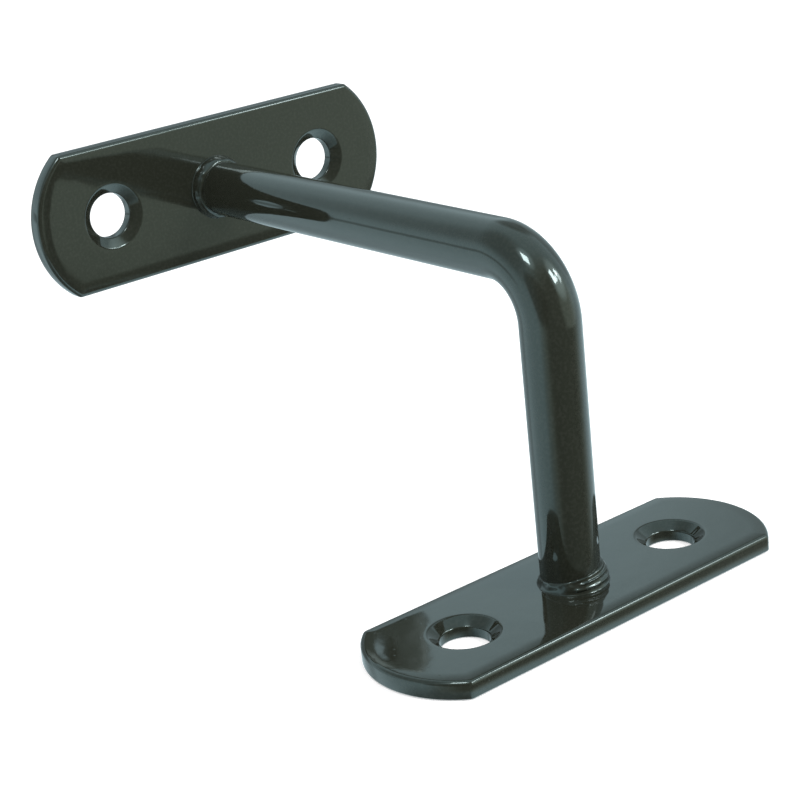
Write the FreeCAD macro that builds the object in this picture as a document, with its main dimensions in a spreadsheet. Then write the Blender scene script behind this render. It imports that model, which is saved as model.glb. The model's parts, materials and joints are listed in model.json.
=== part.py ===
import FreeCAD, Part
import Sketcher
import math
import os

# A fixed handrail bracket, in millimetres. A round bar is bent square, and each end is
# welded to a short plate of flat bar. The origin is the centre of the wall plate's back
# face. The plates lie along X, the wall is the plane Y = 0 and the arm runs out along -Y,
# then down to the rail plate.

# Driving dimensions: alias, value, what it is
DIMENSIONS = [
    ("PlateWidth", 25.0, "flat bar width"),
    ("PlateThickness", 3.0, "flat bar thickness"),
    ("HoleSpacing", 44.0, "between the two screw holes of a plate"),
    ("WallPlateMargin", 14.5, "from a screw hole to the tip of the wall plate"),
    ("RailPlateMargin", 15.5, "from a screw hole to the tip of the rail plate"),
    ("EndBulge", 6.0, "how far a convex end stands out past its corners"),
    ("FrontEdgeRadius", 0.6, "rolled edge on the side of the bar"),
    ("BackEdgeBreak", 0.35, "broken edge on the mounting side"),
    ("CornerEase", 0.3, "outline corner, rounder than the rolled edge by this"),
    ("HoleDiameter", 8.0, "screw hole"),
    ("HoleLand", 1.5, "straight wall left under the countersink"),
    ("SinkAngle", 90.0, "full angle of the countersink, in degrees"),
    ("BarDiameter", 9.5, "round bar of the arm"),
    ("BendRadius", 10.0, "centre line of the bar in its bend"),
    ("Projection", 88.0, "wall to the centre line of the down leg"),
    ("Drop", 52.0, "centre line of the level leg to the rail plate"),
    ("WeldLeg", 0.6, "reach of a weld from the bar, along the plate"),
    ("WeldBite", 0.1, "how deep the top of a weld dips into the bar"),
    ("WeldHeight", 2.6, "reach of a weld from the plate, along the bar"),
    ("RunBulge", 0.12, "how far a run of weld stands out between its valleys"),
    ("WallWeldSlant", 4.0, "tilt of the top run at the wall plate, in degrees"),
    ("WallWeldShift", 0.15, "how far the runs there sit to one side"),
    ("WallWeldTurn", 150.0, "side of the bar on which they rise, in degrees"),
    ("RailWeldSlant", 7.0, "tilt of the top run at the rail plate, in degrees"),
    ("RailWeldShift", 0.3, "how far the runs there sit to one side"),
    ("RailWeldTurn", -34.0, "side of the bar on which they rise, in degrees"),
]
SIZE = {alias: value for alias, value, _ in DIMENSIONS}

# The valleys between a weld's runs, as shares of its height. The lowest run starts below the
# face of the plate, because the runs lean.
WELD_VALLEYS = [-0.5, 0.0, 0.45, 1.0]
TOLERANCE = 1e-4

# Sizes that hang on several others
SINK_DEPTH = "(Sizes.PlateThickness - Sizes.HoleLand)"
SINK_DIAMETER = f"Sizes.HoleDiameter + 2 * {SINK_DEPTH} * tan(Sizes.SinkAngle / 2)"
END_RADIUS = "(Sizes.EndBulge ^ 2 + (Sizes.PlateWidth / 2) ^ 2) / (2 * Sizes.EndBulge)"
WELD_WIDTH = "(Sizes.WeldLeg + Sizes.WeldBite)"
RUN_CHORD = "((" + WELD_WIDTH + " ^ 2 + Sizes.WeldHeight ^ 2) * {step} ^ 2)"
RUN_RADIUS = "(" + RUN_CHORD + " / 4 + Sizes.RunBulge ^ 2) / (2 * Sizes.RunBulge)"

# How a sketch counts the points of a curve and its own axes
START, END, CENTRE = range(1, 4)
AXIS_X, AXIS_Y = range(-1, -3, -1)
UP = FreeCAD.Vector(0, 0, 1)


# The sheet that drives every size
def make_sheet(doc):
    sheet = doc.addObject("Spreadsheet::Sheet", "Sizes")
    for row, (alias, value, meaning) in enumerate(DIMENSIONS, start=1):
        sheet.set(f"A{row}", meaning)
        sheet.set(f"B{row}", str(value))
        sheet.setAlias(f"B{row}", alias)
    doc.recompute()


# Sketch helpers
def new_sketch(body, name, role, lift=None):
    sketch = body.newObject("Sketcher::SketchObject", name)
    plane = next(plane for plane in body.Origin.OriginFeatures if plane.Role == role)
    sketch.AttachmentSupport = [(plane, "")]
    sketch.MapMode = "FlatFace"
    if lift:
        sketch.setExpression("AttachmentOffset.Base.z", lift)
    return sketch


def line(x1, y1, x2, y2):
    return Part.LineSegment(FreeCAD.Vector(x1, y1, 0), FreeCAD.Vector(x2, y2, 0))


def arc(x, y, radius, first, last):
    return Part.ArcOfCircle(Part.Circle(FreeCAD.Vector(x, y, 0), UP, radius), first, last)


def circle(x, y, radius):
    return Part.Circle(FreeCAD.Vector(x, y, 0), UP, radius)


def drive(sketch, name, expression, *constraint):
    index = sketch.addConstraint(Sketcher.Constraint(*constraint))
    sketch.renameConstraint(index, name)
    sketch.setExpression(f"Constraints.{name}", expression)


# Two straight sides and two convex ends
def draw_outline(body, name, margin):
    half_length = SIZE["HoleSpacing"] / 2 + SIZE[margin]
    half_width = SIZE["PlateWidth"] / 2
    bulge = SIZE["EndBulge"]
    corner = half_length - bulge
    radius = (bulge ** 2 + half_width ** 2) / (2 * bulge)
    sweep = math.asin(half_width / radius)

    sketch = new_sketch(body, name + "_outline", "XY_Plane")
    top = sketch.addGeometry(line(-corner, half_width, corner, half_width))
    bottom = sketch.addGeometry(line(-corner, -half_width, corner, -half_width))
    right = sketch.addGeometry(arc(half_length - radius, 0, radius, -sweep, sweep))
    left = sketch.addGeometry(arc(radius - half_length, 0, radius, math.pi - sweep, math.pi + sweep))
    sketch.addConstraint([
        Sketcher.Constraint("Coincident", top, END, right, END),
        Sketcher.Constraint("Coincident", right, START, bottom, END),
        Sketcher.Constraint("Coincident", bottom, START, left, END),
        Sketcher.Constraint("Coincident", left, START, top, START),
        Sketcher.Constraint("Symmetric", top, START, top, END, AXIS_Y),
        Sketcher.Constraint("Symmetric", top, START, bottom, START, AXIS_X),
        Sketcher.Constraint("Symmetric", top, END, bottom, END, AXIS_X),
        Sketcher.Constraint("Equal", right, left),
    ])
    drive(sketch, "Width", "Sizes.PlateWidth", "DistanceY", bottom, START, top, START, 2 * half_width)
    drive(sketch, "EndRadius", END_RADIUS, "Radius", right, radius)
    drive(sketch, "HalfStraight", f"Sizes.HoleSpacing / 2 + Sizes.{margin} - Sizes.EndBulge",
          "DistanceX", AXIS_X, START, top, END, corner)
    return sketch


# Two circles on the face that the countersinks open from
def draw_holes(body, name):
    half_spacing = SIZE["HoleSpacing"] / 2
    radius = SIZE["HoleDiameter"] / 2
    sketch = new_sketch(body, name + "_hole_centres", "XY_Plane", "Sizes.PlateThickness")
    right = sketch.addGeometry(circle(half_spacing, 0, radius))
    left = sketch.addGeometry(circle(-half_spacing, 0, radius))
    sketch.addConstraint([
        Sketcher.Constraint("PointOnObject", right, CENTRE, AXIS_X),
        Sketcher.Constraint("Symmetric", left, CENTRE, right, CENTRE, AXIS_Y),
        Sketcher.Constraint("Equal", left, right),
    ])
    drive(sketch, "Radius", "Sizes.HoleDiameter / 2", "Radius", right, radius)
    drive(sketch, "Spacing", "Sizes.HoleSpacing", "DistanceX", left, CENTRE, right, CENTRE, 2 * half_spacing)
    return sketch


# Edges to round or break, found by where they lie
def edges_where(shape, wanted):
    return [f"Edge{number}" for number, edge in enumerate(shape.Edges, start=1) if wanted(edge)]


def lies_at(edge, height):
    return all(abs(vertex.Z - height) < TOLERANCE for vertex in edge.Vertexes)


def stands_up(edge):
    box = edge.BoundBox
    return box.ZLength > TOLERANCE and box.XLength < TOLERANCE and box.YLength < TOLERANCE


def dress_edges(body, kind, name, wanted, size, expression):
    base = body.Tip
    dressing = body.newObject(kind, name)
    dressing.Base = (base, edges_where(base.Shape, wanted))
    dressing.setExpression(size, expression)
    body.Document.recompute()


def round_edges(body, name, wanted, radius):
    dress_edges(body, "PartDesign::Fillet", name, wanted, "Radius", radius)


def break_edges(body, name, wanted, width):
    dress_edges(body, "PartDesign::Chamfer", name, wanted, "Size", width)


# A plate of flat bar: cropped to convex ends, edges rolled, two holes countersunk. It is
# made lying flat with its mounting face down, and its placement puts it where it belongs.
def make_plate(doc, name, margin):
    body = doc.addObject("PartDesign::Body", name)
    body.Label = name
    thickness = SIZE["PlateThickness"]

    bar = body.newObject("PartDesign::Pad", name + "_bar")
    bar.Profile = draw_outline(body, name, margin)
    bar.setExpression("Length", "Sizes.PlateThickness")
    doc.recompute()

    round_edges(body, name + "_corners", stands_up, "Sizes.FrontEdgeRadius + Sizes.CornerEase")
    round_edges(body, name + "_front_edge", lambda edge: lies_at(edge, thickness), "Sizes.FrontEdgeRadius")
    break_edges(body, name + "_back_edge", lambda edge: lies_at(edge, 0), "Sizes.BackEdgeBreak")

    centres = draw_holes(body, name)
    holes = body.newObject("PartDesign::Hole", name + "_screw_holes")
    holes.Profile = centres
    doc.recompute()
    holes.Threaded = False
    holes.DepthType = "ThroughAll"
    holes.HoleCutType = "Countersink"
    holes.HoleCutCustomValues = True
    holes.setExpression("Diameter", "Sizes.HoleDiameter")
    holes.setExpression("HoleCutDiameter", SINK_DIAMETER)
    holes.setExpression("HoleCutCountersinkAngle", "Sizes.SinkAngle")
    doc.recompute()
    return body


# The arm: one round bar, drawn along its centre line from plate to plate
def draw_route(body):
    start = -SIZE["PlateThickness"]
    reach, drop, radius = SIZE["Projection"], SIZE["Drop"], SIZE["BendRadius"]
    sketch = new_sketch(body, "arm_route", "YZ_Plane")
    level = sketch.addGeometry(line(start, 0, radius - reach, 0))
    bend = sketch.addGeometry(arc(radius - reach, -radius, radius, math.pi / 2, math.pi))
    down = sketch.addGeometry(line(-reach, -radius, -reach, -drop))
    sketch.addConstraint([
        Sketcher.Constraint("PointOnObject", level, START, AXIS_X),
        Sketcher.Constraint("Horizontal", level),
        Sketcher.Constraint("Tangent", level, END, bend, START),
        Sketcher.Constraint("Tangent", bend, END, down, START),
        Sketcher.Constraint("Vertical", down),
    ])
    drive(sketch, "BendRadius", "Sizes.BendRadius", "Radius", bend, radius)
    drive(sketch, "Start", "Sizes.PlateThickness", "DistanceX", level, START, AXIS_X, START, -start)
    drive(sketch, "Reach", "Sizes.Projection", "DistanceX", down, END, AXIS_X, START, reach)
    drive(sketch, "Drop", "Sizes.Drop", "DistanceY", down, END, AXIS_X, START, drop)
    return sketch


def draw_section(body):
    radius = SIZE["BarDiameter"] / 2
    sketch = new_sketch(body, "arm_section", "XZ_Plane", "Sizes.PlateThickness")
    ring = sketch.addGeometry(circle(0, 0, radius))
    sketch.addConstraint(Sketcher.Constraint("Coincident", ring, CENTRE, AXIS_X, START))
    drive(sketch, "Radius", "Sizes.BarDiameter / 2", "Radius", ring, radius)
    return sketch


def make_arm(doc):
    body = doc.addObject("PartDesign::Body", "arm")
    body.Label = "arm"
    route = draw_route(body)
    section = draw_section(body)
    doc.recompute()
    bar = body.newObject("PartDesign::AdditivePipe", "arm_bent_bar")
    bar.Profile = section
    bar.Spine = route
    doc.recompute()
    return body


# A weld: runs of bead laid round the bar, one above the other on a steep fillet. They lean,
# low on one side of the bar and high on the other, as where a run laps its start. It is made
# standing on its plate, and it is cut back to the bar and to the face of the plate.
def draw_runs(body, name, weld):
    bar_radius = SIZE["BarDiameter"] / 2
    leg, height, bulge = SIZE["WeldLeg"], SIZE["WeldHeight"], SIZE["RunBulge"]
    width = leg + SIZE["WeldBite"]
    valleys = [(bar_radius + leg - width * share, height * share) for share in WELD_VALLEYS]

    sketch = new_sketch(body, name + "_section", "XZ_Plane")
    sketch.setExpression("AttachmentOffset.Base.x", f"Sizes.{weld}Shift")
    sketch.setExpression("AttachmentOffset.Rotation.Angle", f"Sizes.{weld}Slant")
    runs = [sketch.addGeometry(bulged_arc(low, high, bulge)) for low, high in zip(valleys, valleys[1:])]
    inside = bar_radius / 2
    (foot_x, foot_y), (head_x, head_y) = valleys[0], valleys[-1]
    under = sketch.addGeometry(line(inside, foot_y, foot_x, foot_y))
    within = sketch.addGeometry(line(inside, foot_y, inside, head_y))
    over = sketch.addGeometry(line(inside, head_y, head_x, head_y))
    sketch.addConstraint([
        Sketcher.Constraint("Coincident", under, END, runs[0], START),
        Sketcher.Constraint("Coincident", over, END, runs[-1], END),
        Sketcher.Constraint("Coincident", within, START, under, START),
        Sketcher.Constraint("Coincident", within, END, over, START),
        Sketcher.Constraint("Horizontal", under),
        Sketcher.Constraint("Vertical", within),
        Sketcher.Constraint("Horizontal", over),
    ])
    drive(sketch, "Inside", "Sizes.BarDiameter / 4", "DistanceX", AXIS_X, START, within, START, inside)
    for number, run in enumerate(runs):
        if number:
            sketch.addConstraint(Sketcher.Constraint("Coincident", runs[number - 1], END, run, START))
        step = WELD_VALLEYS[number + 1] - WELD_VALLEYS[number]
        chord = math.dist(valleys[number], valleys[number + 1])
        drive(sketch, f"RunRadius{number}", RUN_RADIUS.format(step=step),
              "Radius", run, bulge_radius(chord, bulge))
        drive_valley(sketch, number, valleys[number], run, START)
    drive_valley(sketch, len(runs), valleys[-1], runs[-1], END)
    return sketch


def bulge_radius(chord, bulge):
    return ((chord / 2) ** 2 + bulge ** 2) / (2 * bulge)


def bulged_arc(low, high, bulge):
    radius = bulge_radius(math.dist(low, high), bulge)
    slope = math.atan2(high[1] - low[1], high[0] - low[0])
    centre_x = (low[0] + high[0]) / 2 - (radius - bulge) * math.sin(slope)
    centre_y = (low[1] + high[1]) / 2 + (radius - bulge) * math.cos(slope)
    first = math.atan2(low[1] - centre_y, low[0] - centre_x)
    last = math.atan2(high[1] - centre_y, high[0] - centre_x)
    return arc(centre_x, centre_y, radius, first, last)


def drive_valley(sketch, number, valley, run, end):
    share = WELD_VALLEYS[number]
    drive(sketch, f"ValleyOut{number}",
          f"Sizes.BarDiameter / 2 + Sizes.WeldLeg - {WELD_WIDTH} * {share}",
          "DistanceX", AXIS_X, START, run, end, valley[0])
    drive(sketch, f"ValleyUp{number}", f"Sizes.WeldHeight * {share}",
          "DistanceY", AXIS_X, START, run, end, valley[1])


def draw_disc(body, name, expression, radius):
    sketch = new_sketch(body, name, "XY_Plane")
    ring = sketch.addGeometry(circle(0, 0, radius))
    sketch.addConstraint(Sketcher.Constraint("Coincident", ring, CENTRE, AXIS_X, START))
    drive(sketch, "Radius", expression, "Radius", ring, radius)
    return sketch


def make_weld(doc, name, weld):
    body = doc.addObject("PartDesign::Body", name)
    body.Label = name
    section = draw_runs(body, name, weld)
    runs = body.newObject("PartDesign::Revolution", name + "_runs")
    runs.Profile = section
    runs.ReferenceAxis = (section, ["V_Axis"])
    runs.Angle = 360
    doc.recompute()

    plate = body.newObject("PartDesign::Pocket", name + "_plate_face")
    plate.Profile = draw_disc(body, name + "_plate_disc", "Sizes.BarDiameter", SIZE["BarDiameter"])
    plate.setExpression("Length", "2 * Sizes.WeldHeight")
    doc.recompute()

    bar = body.newObject("PartDesign::Pocket", name + "_bar_bore")
    bar.Profile = draw_disc(body, name + "_bar_disc", "Sizes.BarDiameter / 2", SIZE["BarDiameter"] / 2)
    bar.setExpression("Length", "4 * Sizes.WeldHeight")
    bar.Reversed = True
    doc.recompute()
    return body


# Where each piece goes: what stands on the wall plate is turned to face along -Y
def place_pieces(doc, wall_plate, rail_plate, wall_weld, rail_weld):
    upright = FreeCAD.Rotation(FreeCAD.Vector(1, 0, 0), 90)
    wall_turn = FreeCAD.Rotation(UP, SIZE["WallWeldTurn"])
    rail_turn = FreeCAD.Rotation(UP, SIZE["RailWeldTurn"])
    wall_plate.Placement = FreeCAD.Placement(FreeCAD.Vector(), upright)
    wall_weld.Placement = FreeCAD.Placement(FreeCAD.Vector(), upright * wall_turn)
    rail_weld.Placement = FreeCAD.Placement(FreeCAD.Vector(), rail_turn)
    wall_weld.setExpression("Placement.Base.y", "-Sizes.PlateThickness")
    for piece in (rail_plate, rail_weld):
        piece.setExpression("Placement.Base.y", "-Sizes.Projection")
    rail_plate.setExpression("Placement.Base.z", "-Sizes.Drop - Sizes.PlateThickness")
    rail_weld.setExpression("Placement.Base.z", "-Sizes.Drop")
    doc.recompute()


def check(doc, pieces):
    for thing in doc.Objects:
        if "Invalid" in thing.State or "Error" in thing.State:
            raise RuntimeError(f"{thing.Name} failed: {thing.State}")
    for piece in pieces:
        if piece.Shape.isNull() or not piece.Shape.isValid() or len(piece.Shape.Solids) != 1:
            raise RuntimeError(f"{piece.Label} isn't one valid solid")


def build():
    doc = FreeCAD.newDocument("handrail_bracket")
    make_sheet(doc)
    wall_plate = make_plate(doc, "wall_plate", "WallPlateMargin")
    rail_plate = make_plate(doc, "rail_plate", "RailPlateMargin")
    arm = make_arm(doc)
    wall_weld = make_weld(doc, "wall_weld", "WallWeld")
    rail_weld = make_weld(doc, "rail_weld", "RailWeld")
    place_pieces(doc, wall_plate, rail_plate, wall_weld, rail_weld)

    pieces = [wall_plate, rail_plate, arm, wall_weld, rail_weld]
    check(doc, pieces)
    os.makedirs("parts", exist_ok=True)
    for piece in pieces:
        piece.Shape.exportStep(f"parts/{piece.Label}.step")


build()
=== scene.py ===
import json
import math

import bmesh
import bpy
from mathutils import Matrix, Vector, noise


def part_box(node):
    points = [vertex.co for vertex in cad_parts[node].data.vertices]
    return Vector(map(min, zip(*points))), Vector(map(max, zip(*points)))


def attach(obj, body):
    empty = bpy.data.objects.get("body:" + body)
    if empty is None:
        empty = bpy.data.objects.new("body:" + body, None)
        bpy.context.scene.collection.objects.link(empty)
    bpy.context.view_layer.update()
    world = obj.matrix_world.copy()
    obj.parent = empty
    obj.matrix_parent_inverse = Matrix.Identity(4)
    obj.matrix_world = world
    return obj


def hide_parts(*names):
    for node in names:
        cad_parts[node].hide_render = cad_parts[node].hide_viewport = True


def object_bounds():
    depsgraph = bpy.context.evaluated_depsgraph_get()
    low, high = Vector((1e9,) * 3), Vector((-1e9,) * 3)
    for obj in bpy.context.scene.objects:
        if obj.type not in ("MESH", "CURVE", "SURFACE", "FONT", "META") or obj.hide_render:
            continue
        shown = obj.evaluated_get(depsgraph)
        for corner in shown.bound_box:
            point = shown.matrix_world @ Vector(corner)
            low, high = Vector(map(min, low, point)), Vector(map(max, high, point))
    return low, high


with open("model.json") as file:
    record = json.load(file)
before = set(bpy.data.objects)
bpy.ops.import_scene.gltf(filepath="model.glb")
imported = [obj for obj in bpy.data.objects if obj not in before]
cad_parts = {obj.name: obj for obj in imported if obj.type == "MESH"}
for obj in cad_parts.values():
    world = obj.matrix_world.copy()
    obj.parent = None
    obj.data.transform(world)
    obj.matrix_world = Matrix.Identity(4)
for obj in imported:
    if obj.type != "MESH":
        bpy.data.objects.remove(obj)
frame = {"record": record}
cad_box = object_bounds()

# The wall plate: a length of mild steel flat bar, cropped in a press to convex ends and
# countersunk from the front for two wood screws. Its long edges are rolled, and the enamel
# of the whole bracket runs soft over every edge and pools in the countersinks.
MM = 0.001
END_BULGE = 6.0 * MM
CORNER_RADIUS = 0.9 * MM
FRONT_ROLL = 0.6 * MM
BACK_EDGE = 0.3 * MM
SIDE_CROWN = 0.07 * MM
SINK_RADIUS = 5.5 * MM
HOLE_LAND = 1.5 * MM
SINK_RIM = 0.8 * MM
LAND_RIM = 0.45 * MM
BACK_RIM = 0.15 * MM
COAT = 0.1 * MM
SHOULDER = 2.8 * MM
SHOULDER_DROP = 0.15 * MM
SHOULDER_FOOT, SHOULDER_HEAD = 0.4, 0.9
ARC_STEPS = 8
SIDE_STEPS = 40
AROUND_HOLE = 96
mounts = {mount["name"]: mount for mount in frame["record"]["mounts"]}


def rounded(corners):
    """A path through (x, y, radius) corners, each turned by an arc of its radius."""
    path = [Vector(corners[0][:2])]
    for before, corner, after in zip(corners, corners[1:], corners[2:]):
        point, radius = Vector(corner[:2]), corner[2]
        back = (Vector(before[:2]) - point).normalized()
        ahead = (Vector(after[:2]) - point).normalized()
        half_angle = back.angle(ahead) / 2
        first = point + back * radius / math.tan(half_angle)
        centre = point + (back + ahead).normalized() * radius / math.sin(half_angle)
        arm = first - centre
        turn = math.copysign(math.pi - 2 * half_angle, back.cross(ahead) * -1)
        for step in range(ARC_STEPS + 1):
            path.append(centre + Matrix.Rotation(turn * step / ARC_STEPS, 2) @ arm)
    path.append(Vector(corners[-1][:2]))
    return path


def plate_outline(half_length, half_width, depth):
    """The plate's outline as points once round, drawn in on all sides by depth."""
    end_radius = (END_BULGE ** 2 + half_width ** 2) / (2 * END_BULGE)
    centre = half_length - end_radius
    end_radius -= depth
    corner_v = half_width - depth - CORNER_RADIUS
    corner_u = centre + math.sqrt((end_radius - CORNER_RADIUS) ** 2 - corner_v ** 2)
    lean = math.atan2(corner_v, corner_u - centre)
    quarter = []
    for step in range(SIDE_STEPS):
        angle = lean * step / SIDE_STEPS
        quarter.append((centre + math.cos(angle) * end_radius, math.sin(angle) * end_radius))
    for step in range(ARC_STEPS + 1):
        angle = lean + (math.pi / 2 - lean) * step / ARC_STEPS
        quarter.append((corner_u + math.cos(angle) * CORNER_RADIUS,
                        corner_v + math.sin(angle) * CORNER_RADIUS))
    for step in range(1, SIDE_STEPS + 1):
        quarter.append((corner_u * (1 - step / SIDE_STEPS), half_width - depth))

    outline = []
    for mirror_u, mirror_v in ((1, 1), (-1, 1), (-1, -1), (1, -1)):
        turned = [Vector((u * mirror_u, v * mirror_v, 0)) for u, v in quarter]
        if mirror_u * mirror_v < 0:
            turned.reverse()
        outline += turned[:-1]
    return outline


def loft(mesh, rings):
    """Quads between one closed ring of points and the next. Returns the rings' corners."""
    rows = [[mesh.verts.new(point) for point in ring] for ring in rings]
    for row, next_row in zip(rows, rows[1:]):
        for i in range(len(row)):
            j = (i + 1) % len(row)
            mesh.faces.new((row[i], row[j], next_row[j], next_row[i]))
    return rows


def soft_step(value, low, high):
    """0 below low, 1 above high, with a soft step between."""
    share = min(1, max(0, (value - low) / (high - low)))
    return share * share * (3 - 2 * share)


def ring_edges(mesh, ring):
    """The edges that join the corners of a closed ring."""
    return [mesh.edges.get((ring[i - 1], ring[i])) for i in range(len(ring))]


def finish_mesh(mesh, name, place):
    """Puts a mesh in its place, with its faces outward, as a smooth-shaded object."""
    mesh.transform(place)
    bmesh.ops.recalc_face_normals(mesh, faces=mesh.faces)
    for face in mesh.faces:
        face.smooth = True
    data = bpy.data.meshes.new(name)
    mesh.to_mesh(data)
    mesh.free()
    piece = bpy.data.objects.new(name, data)
    bpy.context.scene.collection.objects.link(piece)
    return piece


def make_plate(name, half_length, half_width, thickness, screws, pooled, place):
    """A cropped and countersunk plate, made with its mounting face at height 0. Its front
    falls off in a soft shoulder all round and its sides are crowned. Pooled is how much
    shallower the enamel makes the cones of its countersinks."""
    mesh = bmesh.new()
    inset = FRONT_ROLL + SIDE_CROWN + COAT
    edge = [Vector((SHOULDER + (inset - SHOULDER) * step / ARC_STEPS, thickness))
            for step in range(ARC_STEPS)]
    edge += rounded([(inset, thickness, 0), (0, thickness, FRONT_ROLL), (0, 0, BACK_EDGE), (inset, 0, 0)])
    rings = []
    for depth, height in edge:
        crown = SIDE_CROWN * (2 * height / thickness - 1) ** 2
        depth = max(depth, min(depth + crown, inset))
        front_share = soft_step(height / thickness, SHOULDER_FOOT, SHOULDER_HEAD)
        drop = SHOULDER_DROP * max(0, 1 - depth / SHOULDER) ** 2 * front_share
        lift = Vector((0, 0, height - drop))
        rings.append([point + lift for point in plate_outline(half_length, half_width, depth)])
    rows = loft(mesh, rings)
    front, back = ring_edges(mesh, rows[0]), ring_edges(mesh, rows[-1])

    hole_radius = screws["dims"]["hole_r_mm"] * MM - COAT
    half_spacing = screws["dims"]["spacing_x_mm"] * MM / 2
    hole = rounded([
        (SINK_RADIUS + SINK_RIM, thickness, 0),
        (SINK_RADIUS + pooled / 2, thickness, SINK_RIM),
        (hole_radius, HOLE_LAND + pooled, LAND_RIM),
        (hole_radius, 0, BACK_RIM),
        (hole_radius + SINK_RIM, 0, 0),
    ])
    turns = [2 * math.pi * i / AROUND_HOLE for i in range(AROUND_HOLE)]
    for side in (-1, 1):
        middle = side * half_spacing
        rings = [[Vector((middle + radius * math.cos(a), radius * math.sin(a), height)) for a in turns]
                 for radius, height in hole]
        rows = loft(mesh, rings)
        front += ring_edges(mesh, rows[0])
        back += ring_edges(mesh, rows[-1])
    bmesh.ops.triangle_fill(mesh, use_beauty=True, edges=front, normal=(0, 0, 1))
    bmesh.ops.triangle_fill(mesh, use_beauty=True, edges=back, normal=(0, 0, -1))
    return finish_mesh(mesh, name, place)


class Shade:
    """A socket in a node tree. Sums, differences and products with it add Math nodes."""

    def __init__(self, tree, socket=None):
        self.tree, self.socket = tree, socket

    def node(self, kind, settings, inputs, output=0):
        """Adds a node: its settings first, then the values or links of its sockets."""
        made = self.tree.nodes.new(kind)
        for name, value in settings.items():
            setattr(made, name, value)
        for name, value in inputs.items():
            if isinstance(value, Shade):
                self.tree.links.new(value.socket, made.inputs[name])
            else:
                made.inputs[name].default_value = value
        return Shade(self.tree, made.outputs[output] if made.outputs else None)

    def math(self, operation, first, second):
        """A Math node on two shades, or on a shade and a number."""
        return self.node("ShaderNodeMath", {"operation": operation}, {0: first, 1: second})

    def __add__(self, other):
        return self.math("ADD", self, other)

    def __rsub__(self, other):
        return self.math("SUBTRACT", other, self)

    def __mul__(self, other):
        return self.math("MULTIPLY", self, other)

    __radd__ = __add__
    __rmul__ = __mul__


def noise_of(graph, place, size, detail):
    """Cloudy noise from 0 to 1 whose patches are about as large as size, in metres."""
    return graph.node("ShaderNodeTexNoise", {"noise_dimensions": "3D"},
                      {"Vector": place, "Scale": 1 / size, "Detail": detail})


def fade(graph, value, low, high):
    """0 below low, 1 above high, with a soft step between."""
    return graph.node("ShaderNodeMapRange", {"interpolation_type": "SMOOTHSTEP"},
                      {"Value": value, "From Min": low, "From Max": high}, "Result")


DEEP_GREEN = (0.0140, 0.0160, 0.0112, 1)
GREY_GREEN = (0.0225, 0.0245, 0.0190, 1)
COOL_GLOSS = (0.82, 1.0, 1.0, 1)
CLOUD_SIZE, SMEAR_SIZE, GRAIN_SIZE = 14 * MM, 3 * MM, 0.5 * MM
SWELL_SIZE, RIPPLE_SIZE, SKIN_SIZE = 10 * MM, 3.5 * MM, 1.3 * MM
SWELL_HEIGHT, RIPPLE_HEIGHT, SPECK_HEIGHT = 0.045 * MM, 0.014 * MM, 0.006 * MM
SPECK_SPACING = 2.6 * MM


def enamel(name, peel):
    """Dark green-black stoving enamel: glossy, a little wavy, with a fine grain and a few
    dust specks. Peel is the height of its finest waves."""
    material = bpy.data.materials.new(name)
    material.use_nodes = True
    graph = Shade(material.node_tree)
    material.node_tree.nodes.clear()
    place = graph.node("ShaderNodeTexCoord", {}, {}, "Object")
    cloud = noise_of(graph, place, CLOUD_SIZE, 3.0)
    smear = noise_of(graph, place, SMEAR_SIZE, 4.0)
    specks = graph.node("ShaderNodeTexVoronoi", {"feature": "F1"},
                        {"Vector": place, "Scale": 1 / SPECK_SPACING})
    speck = 1 - fade(graph, specks, 0.02, 0.07)
    grain = fade(graph, noise_of(graph, place, GRAIN_SIZE, 2.0), 0.42, 0.68)
    colour = graph.node("ShaderNodeMix", {"data_type": "RGBA"},
                        {"Factor": 0.45 * cloud + 0.55 * grain, 6: DEEP_GREEN, 7: GREY_GREEN}, 2)
    roughness = 0.045 + 0.05 * smear + 0.10 * speck
    swell = noise_of(graph, place, SWELL_SIZE, 1.0)
    ripple = noise_of(graph, place, RIPPLE_SIZE, 1.0)
    skin = noise_of(graph, place, SKIN_SIZE, 2.0)
    height = SWELL_HEIGHT * swell + RIPPLE_HEIGHT * ripple + peel * skin + SPECK_HEIGHT * speck
    bump = graph.node("ShaderNodeBump", {}, {"Strength": 1.0, "Distance": 1.0, "Height": height})
    surface = graph.node("ShaderNodeBsdfPrincipled", {}, {
        "Base Color": colour,
        "Roughness": roughness,
        "Normal": bump,
        "IOR": 1.5,
        "Specular Tint": COOL_GLOSS,
    })
    graph.node("ShaderNodeOutputMaterial", {}, {"Surface": surface})
    return material


plate_enamel = enamel("plate_enamel", peel=0.0025 * MM)
low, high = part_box("wall_plate")
wall_place = Matrix.Rotation(math.pi / 2, 4, "X")
wall_plate = make_plate("wall_plate_enamelled", high.x, high.z, high.y - low.y,
                        mounts["wall_screws"], pooled=0.3 * MM, place=wall_place)
wall_plate.data.materials.append(plate_enamel)
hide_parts("wall_plate")
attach(wall_plate, "root")

# The rail plate: the same flat bar and the same tool, cut a little longer. It is screwed up
# under the handrail through its own two countersunk holes.
low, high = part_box("rail_plate")
rail_place = Matrix.Translation((0, (low.y + high.y) / 2, low.z))
rail_plate = make_plate("rail_plate_enamelled", high.x, (high.y - low.y) / 2, high.z - low.z,
                        mounts["rail_screws"], pooled=0.2 * MM, place=rail_place)
rail_plate.data.materials.append(plate_enamel)
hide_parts("rail_plate")
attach(rail_plate, "root")

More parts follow.
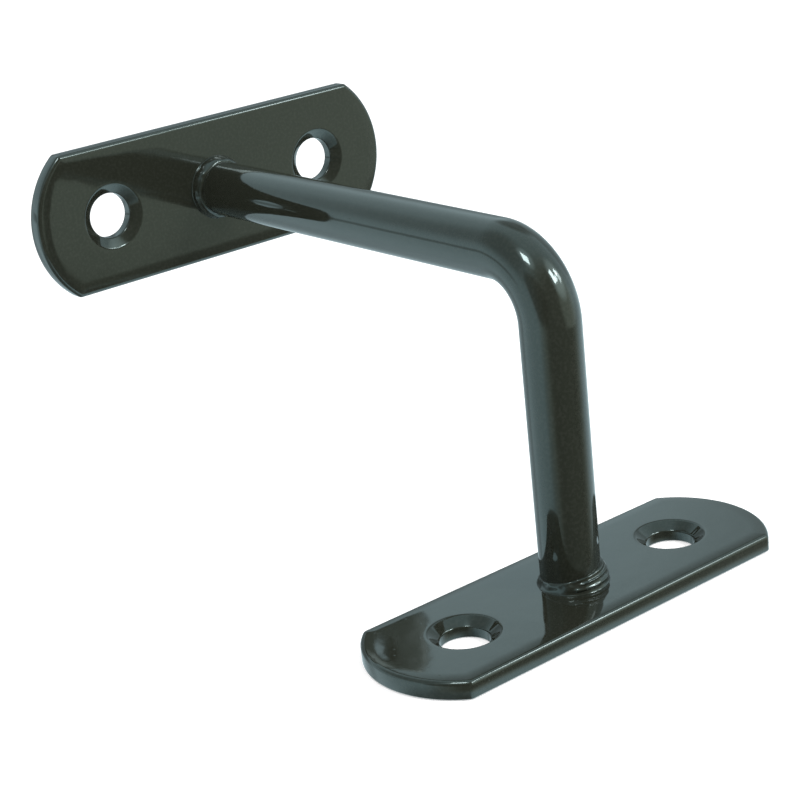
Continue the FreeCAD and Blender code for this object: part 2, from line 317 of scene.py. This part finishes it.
# The arm: one piece of round steel bar, cut square and bent cold through a right angle over
# a former. The enamel lies on it in a thin, almost even coat.
BEND_RADIUS = 10.0 * MM
FLATTENING = 0.02
AROUND_BAR = 128
LEVEL_STEPS, BEND_STEPS, DOWN_STEPS = 40, 48, 30
low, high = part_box("arm")
bar_radius = high.x
start_y, axis_y, end_z = high.y, low.y + bar_radius, low.z


def bar_stations():
    """Centre, direction into the bend and share of the flattening for each ring."""
    level_end = axis_y + BEND_RADIUS
    stations = []
    for step in range(LEVEL_STEPS + 1):
        y = start_y + (level_end - start_y) * step / LEVEL_STEPS
        stations.append((Vector((0, y, 0)), Vector((0, 0, -1)), 0))
    for step in range(1, BEND_STEPS + 1):
        angle = math.pi / 2 * step / BEND_STEPS
        inward = Vector((0, math.sin(angle), -math.cos(angle)))
        centre = Vector((0, level_end, -BEND_RADIUS)) - inward * BEND_RADIUS
        stations.append((centre, inward, math.sin(2 * angle) ** 2))
    for step in range(1, DOWN_STEPS + 1):
        z = -BEND_RADIUS + (end_z + BEND_RADIUS) * step / DOWN_STEPS
        stations.append((Vector((0, axis_y, z)), Vector((0, 1, 0)), 0))
    return stations


def make_bar(name):
    """The bent bar. Bending leaves it a little flat on the outside of the bend."""
    mesh = bmesh.new()
    rings = []
    for centre, inward, bent in bar_stations():
        ring = []
        for i in range(AROUND_BAR):
            angle = 2 * math.pi * i / AROUND_BAR
            depth = math.cos(angle)
            shrink = 1 - FLATTENING * bent * (0.5 - 0.5 * depth)
            side = Vector((math.sin(angle) * bar_radius, 0, 0))
            ring.append(centre + side + inward * depth * bar_radius * shrink)
        rings.append(ring)
    rows = loft(mesh, rings)
    mesh.faces.new(rows[0])
    mesh.faces.new(rows[-1])
    bar = finish_mesh(mesh, name, Matrix())
    for polygon in bar.data.polygons:
        polygon.use_smooth = len(polygon.vertices) == 4
    return bar


arm = make_bar("arm_enamelled")
arm.data.materials.append(enamel("bar_enamel", peel=0.0028 * MM))
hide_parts("arm")
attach(arm, "root")

# The weld at the wall plate: a narrow bead of steel laid once round the bar in the corner
# with the plate. It was made by hand, so its width and height wander, and the enamel
# fills its toes.
BITE_INTO_BAR = 0.04 * MM
RIDGE_FADE = 0.2
LUMPS_PER_RADIUS = 4
BEAD_AROUND = 288
BEAD_UP = 72


def swing(angle, centre, least, most):
    """A value that goes smoothly from least to most, and is most at the centre angle."""
    return least + (most - least) * (0.5 + 0.5 * math.cos(angle - centre))


def make_bead(name, place, height_at, leg_at, ridges, unevenness, toe):
    """A round-backed weld bead on a bar. Each ridge is the share of the height at which it
    lies, its depth and width, the angle of its middle, and the cosine at which it starts.
    Toe is how far the enamel runs out over the plate."""
    mesh = bmesh.new()
    rings = []
    for row in range(BEAD_UP + 1):
        lift = math.pi / 2 * row / BEAD_UP
        ring = []
        for i in range(BEAD_AROUND):
            angle = 2 * math.pi * i / BEAD_AROUND
            height, leg = height_at(angle), leg_at(angle)
            out, up = leg * math.cos(lift), height * math.sin(lift)
            lean = Vector((height * math.cos(lift), leg * math.sin(lift))).normalized()
            swell = 0
            for share, depth, width, middle, onset in ridges:
                off = (up - share * height) / width
                reach = soft_step(math.cos(angle - middle), onset, onset + RIDGE_FADE)
                swell += depth * math.exp(-off * off) * reach
            spot = Vector((math.cos(angle), math.sin(angle), up / bar_radius)) * LUMPS_PER_RADIUS
            swell += unevenness * noise.noise(spot) * math.sin(2 * lift)
            out += lean.x * swell + toe * math.exp(-up / toe)
            up += lean.y * swell * math.sin(lift) * math.sin(min(lift * 2, math.pi / 2))
            out -= BITE_INTO_BAR * math.sin(lift)
            ring.append(Vector((math.cos(angle), math.sin(angle), 0)) * (bar_radius + out)
                        + Vector((0, 0, up)))
        rings.append(ring)
    inner = bar_radius - BITE_INTO_BAR
    top, foot = [], []
    for i, point in enumerate(rings[-1]):
        angle = 2 * math.pi * i / BEAD_AROUND
        flat = Vector((math.cos(angle), math.sin(angle), 0))
        top.append(flat * inner + Vector((0, 0, point.z)))
        foot.append(flat * inner)
    rings += [top, foot]
    rows = loft(mesh, rings)
    for i in range(BEAD_AROUND):
        j = (i + 1) % BEAD_AROUND
        mesh.faces.new((rows[-1][i], rows[-1][j], rows[0][j], rows[0][i]))
    return finish_mesh(mesh, name, place)


weld_enamel = enamel("weld_enamel", peel=0.004 * MM)
wall_turn = math.radians(150)
wall_weld = make_bead(
    "wall_weld_bead",
    wall_place @ Matrix.Translation((0, 0, -start_y)),
    height_at=lambda angle: swing(angle, wall_turn, 1.3, 1.9) * MM,
    leg_at=lambda angle: swing(angle, wall_turn, 0.55, 0.95) * MM,
    ridges=[
        (0.45, 0.10 * MM, 0.22 * MM, math.radians(225), 0.5),
        (0.90, 0.10 * MM, 0.16 * MM, math.radians(215), 0.3),
    ],
    unevenness=0.16 * MM,
    toe=0.15 * MM,
)
wall_weld.data.materials.append(weld_enamel)
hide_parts("wall_weld")
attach(wall_weld, "root")

# The weld at the rail plate: laid in two passes that lap on one side, where three ridges
# stand above each other. On the other side the bead is low and smooth.
rail_turn = math.radians(-34)
rail_weld = make_bead(
    "rail_weld_bead",
    Matrix.Translation((0, axis_y, end_z)),
    height_at=lambda angle: swing(angle, rail_turn, 1.3, 3.0) * MM,
    leg_at=lambda angle: swing(angle, rail_turn, 0.35, 1.05) * MM,
    ridges=[
        (0.95, 0.20 * MM, 0.18 * MM, rail_turn, -0.12),
        (0.70, 0.18 * MM, 0.16 * MM, rail_turn, 0.05),
        (0.36, 0.20 * MM, 0.24 * MM, rail_turn, -0.16),
    ],
    unevenness=0.16 * MM,
    toe=0.25 * MM,
)
rail_weld.data.materials.append(weld_enamel)
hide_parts("rail_weld")
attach(rail_weld, "root")

# The floor: a wide disc of plain white paper just under the bracket, which keeps its soft
# shadow. It glows a little for the camera alone, so that it stays white. The enamel doesn't
# mirror it, but the tent of light that goes on below it.
FLOOR_RADIUS = 2.5
FLOOR_GAP = 0.1 * MM
PAPER_WHITE = (0.86, 0.86, 0.86, 1)
PAPER_GLOW = 0.35
PURE_WHITE = (1, 1, 1, 1)
bpy.ops.mesh.primitive_circle_add(vertices=96, radius=FLOOR_RADIUS, fill_type="NGON",
                                  location=(0, 0, cad_box[0][2] - FLOOR_GAP))
floor = bpy.context.object
floor.name = "floor"
floor.visible_glossy = False
paper = bpy.data.materials.new("paper")
paper.use_nodes = True
paper.node_tree.nodes.clear()
graph = Shade(paper.node_tree)
seen = graph.node("ShaderNodeLightPath", {}, {}, "Is Camera Ray")
matt = graph.node("ShaderNodeBsdfDiffuse", {}, {"Color": PAPER_WHITE})
glow = graph.node("ShaderNodeEmission", {}, {"Color": PURE_WHITE, "Strength": PAPER_GLOW})
bright = graph.node("ShaderNodeAddShader", {}, {0: matt, 1: glow})
shown = graph.node("ShaderNodeMixShader", {}, {0: seen, 1: matt, 2: bright})
graph.node("ShaderNodeOutputMaterial", {}, {"Surface": shown})
floor.data.materials.append(paper)

# The light: a white tent round the bracket, with a dark opening towards the camera, a few
# grey panels and a dark seam on a level with the bracket. Five soft lamps draw the bright
# spots and the bright lines along the edges, two of them with a halo round them.
world = bpy.data.worlds.new("tent")
bpy.context.scene.world = world
world.use_nodes = True
world.node_tree.nodes.clear()
graph = Shade(world.node_tree)
path = {name: graph.node("ShaderNodeLightPath", {}, {}, name)
        for name in ("Is Camera Ray", "Is Glossy Ray", "Is Transmission Ray")}
direction = graph.node("ShaderNodeTexCoord", {}, {}, "Generated")


def toward(azimuth, elevation):
    """The unit direction at an azimuth from +X and an elevation, in degrees."""
    a, e = math.radians(azimuth), math.radians(elevation)
    return Vector((math.cos(a) * math.cos(e), math.sin(a) * math.cos(e), math.sin(e)))


def patch(azimuth, elevation, inner, outer):
    """1 within inner degrees of a direction, fading to 0 at outer degrees from it."""
    nearness = graph.node("ShaderNodeVectorMath", {"operation": "DOT_PRODUCT"},
                          {0: direction, 1: toward(azimuth, elevation)}, "Value")
    return fade(graph, nearness, math.cos(math.radians(outer)), math.cos(math.radians(inner)))


# Grey panels: azimuth, elevation, inner and outer reach in degrees, and how dark they are
GREY_PANELS = [
    (22, 16, 16, 26, 0.48),
    (207, 12, 19, 29, 0.70),
    (152, 45, 15, 42, 0.50),
    (195, -60, 25, 45, 0.80),
    (38, 44, 8, 20, 0.65),
]
TENT_LEVEL = 1.2
FILL_LEVEL = 0.85
COOL_WHITE = (0.77, 1.0, 1.07, 1)
WARM_GREY = (0.98, 1.04, 0.88, 1)
HALO_WHITE = (0.88, 1.0, 1.0, 1)

rise = graph.node("ShaderNodeVectorMath", {"operation": "DOT_PRODUCT"},
                  {0: direction, 1: (0, 0, 1)}, "Value")
above_table = fade(graph, rise, -0.54, -0.41)
dark_front = patch(266, -5, 37, 84) * above_table
grey_side = patch(75, -10, 30, 41) * (0.35 + 0.35 * fade(graph, rise, -0.30, -0.05))
seam = patch(135, 0, 9, 24) * fade(graph, rise, -0.11, -0.05) * (1 - fade(graph, rise, -0.01, 0.04))
level = TENT_LEVEL * (1 - 0.85 * dark_front) * (1 - grey_side) * (1 - 0.68 * seam)
for azimuth, elevation, inner, outer, darkness in GREY_PANELS:
    level = level * (1 - darkness * patch(azimuth, elevation, inner, outer))
level = level + 0.4 * patch(150, -15, 20, 45) + 0.25 * patch(195, -30, 10, 24)
level = level + 0.65 * (1 - above_table) * patch(305, -40, 25, 55)
level = level + 0.7 * patch(309, 9, 22, 38) * fade(graph, rise, -0.31, -0.25)
tint = graph.node("ShaderNodeMix", {"data_type": "RGBA"},
                  {"Factor": dark_front, 6: COOL_WHITE, 7: WARM_GREY}, 2)
walls = graph.node("ShaderNodeBackground", {}, {"Color": tint, "Strength": level})
halo_level = 1.4 * patch(213, 62, 7, 17) + 2.0 * patch(305, 33, 8, 26)
halos = graph.node("ShaderNodeBackground", {}, {"Color": HALO_WHITE, "Strength": halo_level})
tent = graph.node("ShaderNodeAddShader", {}, {0: walls, 1: halos})
fill = graph.node("ShaderNodeBackground", {}, {"Color": PURE_WHITE, "Strength": FILL_LEVEL})
white = graph.node("ShaderNodeBackground", {}, {"Color": PURE_WHITE, "Strength": 1.0})
lit = graph.node("ShaderNodeMixShader", {}, {0: path["Is Glossy Ray"], 1: fill, 2: tent})
clear = graph.math("MAXIMUM", path["Is Camera Ray"], path["Is Transmission Ray"])
shown = graph.node("ShaderNodeMixShader", {}, {0: clear, 1: lit, 2: white})
graph.node("ShaderNodeOutputWorld", {}, {"Surface": shown})

# Lamps: name, azimuth, elevation, width and height in metres, radiance
LAMPS = [
    ("left_lamp", 209, 60, (0.14, 0.14), 21),
    ("right_lamp", 295, 39, (0.12, 0.17), 24),
    ("middle_right_lamp", 305, 34, (0.09, 0.07), 18),
    ("low_right_lamp", 320, 30, (0.12, 0.12), 9),
    ("far_right_lamp", 317, 36, (0.08, 0.08), 22),
]
LAMP_DISTANCE = 0.7
bend = Vector((0, axis_y, 0))


def make_lamp(name, azimuth, elevation, size, radiance):
    """A soft lamp of that size and radiance, turned to the bend of the arm."""
    lamp = bpy.data.lights.new(name, "AREA")
    lamp.shape = "RECTANGLE"
    lamp.size, lamp.size_y = size
    lamp.energy = radiance * math.pi * size[0] * size[1]
    holder = bpy.data.objects.new(name, lamp)
    away = toward(azimuth, elevation)
    holder.location = bend + away * LAMP_DISTANCE
    holder.rotation_euler = away.to_track_quat("Z", "Y").to_euler()
    holder.visible_camera = False
    bpy.context.scene.collection.objects.link(holder)


for lamp_values in LAMPS:
    make_lamp(*lamp_values)

# The camera: at the photograph's place, looking down on the bracket from its left front.
# Its lens is given by its focal length in pixels of the square picture.
EYE = Vector((-184.5, -293.8, 80.0)) * MM
TARGET = Vector((18.0, -25.5, -41.3)) * MM
ROLL = -0.1096
FOCAL_PIXELS = 1962.3
IMAGE_PIXELS = 800
camera_data = bpy.data.cameras.new("camera")
camera_data.lens = FOCAL_PIXELS * camera_data.sensor_width / IMAGE_PIXELS
camera_data.clip_start = 0.01
camera = bpy.data.objects.new("camera", camera_data)
bpy.context.scene.collection.objects.link(camera)
ahead = (TARGET - EYE).normalized()
right = ahead.cross(Vector((0, 0, 1))).normalized()
up = right.cross(ahead)
rolled_right = right * math.cos(ROLL) + up * math.sin(ROLL)
rolled_up = up * math.cos(ROLL) - right * math.sin(ROLL)
camera.matrix_world = Matrix((rolled_right, rolled_up, -ahead)).transposed().to_4x4()
camera.matrix_world.translation = EYE
bpy.context.scene.camera = camera
bpy.context.scene.view_settings.view_transform = "Standard"
